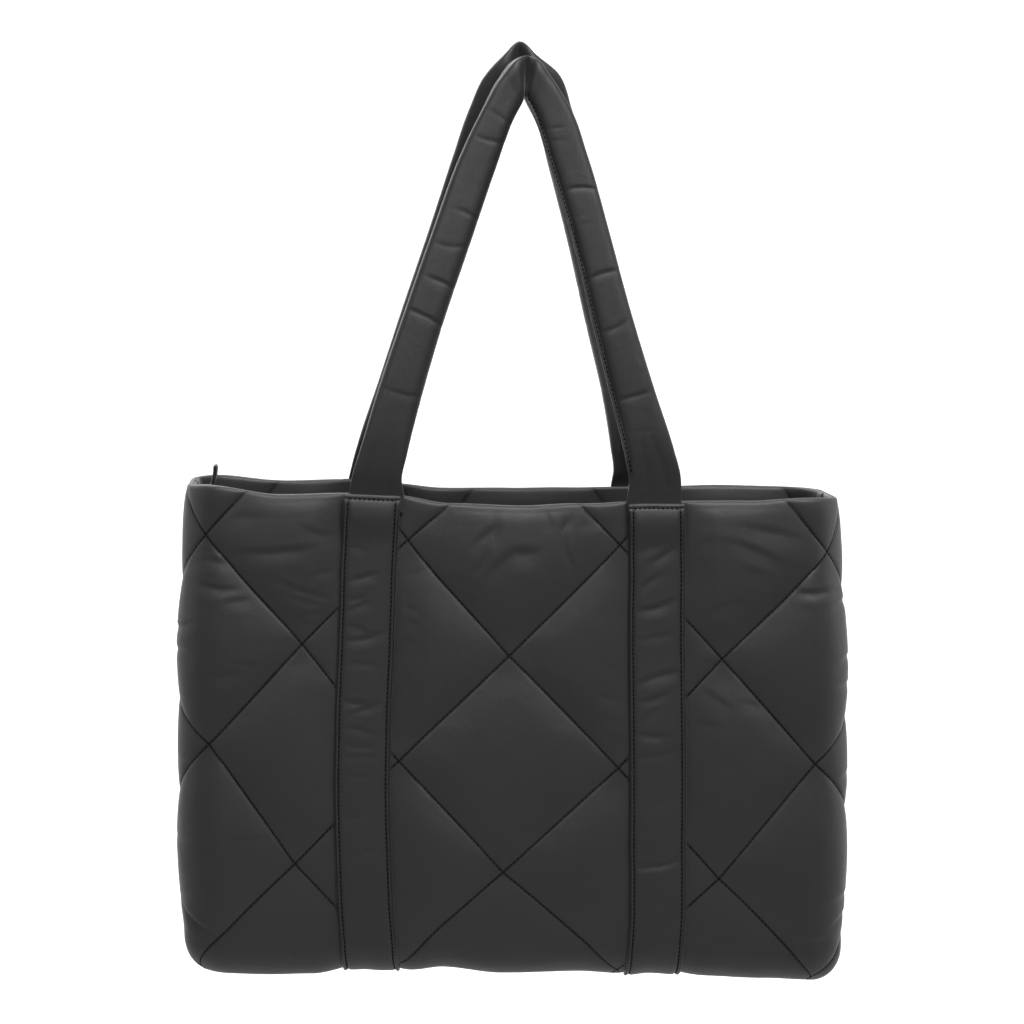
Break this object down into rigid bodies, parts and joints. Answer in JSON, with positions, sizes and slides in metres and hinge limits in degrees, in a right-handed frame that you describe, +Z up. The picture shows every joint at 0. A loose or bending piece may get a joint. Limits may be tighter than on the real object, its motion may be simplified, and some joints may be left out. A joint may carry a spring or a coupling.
{
  "type": "puffer tote bag",
  "caption": "Padded quilted tote bag with an open rectangular body, stitched vertical bands and long tubular shoulder handles drawn up to a peak, as it hangs.",
  "frame": {"origin": "the place in the crotch of the front handle, midway between the two handles, where the bag hangs from a hand or a hook", "axes": "+X to the right of someone who looks at the front, +Y from the front to the back, +Z up"},
  "size_m": [0.4468, 0.1192, 0.6267],
  "materials": {
    "quilted_fabric": "padded quilted polyester taffeta, charcoal, soft sheen",
    "base_fabric": "padded quilted polyester taffeta, charcoal, soft sheen",
    "band_fabric": "folded polyester taffeta strap with edge stitching, charcoal",
    "handle_fabric": "padded polyester taffeta tube, charcoal, soft sheen",
    "zip_tape": "woven polyester zip tape, black, matte"
  },
  "bodies": {
    "root": {"front_shell": "quilted_fabric", "back_shell": "quilted_fabric", "base_panel": "base_fabric", "front_left_band": "band_fabric", "front_right_band": "band_fabric", "back_left_band": "band_fabric", "back_right_band": "band_fabric", "front_handle": "handle_fabric", "back_handle": "handle_fabric", "zip_tab": "zip_tape"}
  },
  "joints": []
}
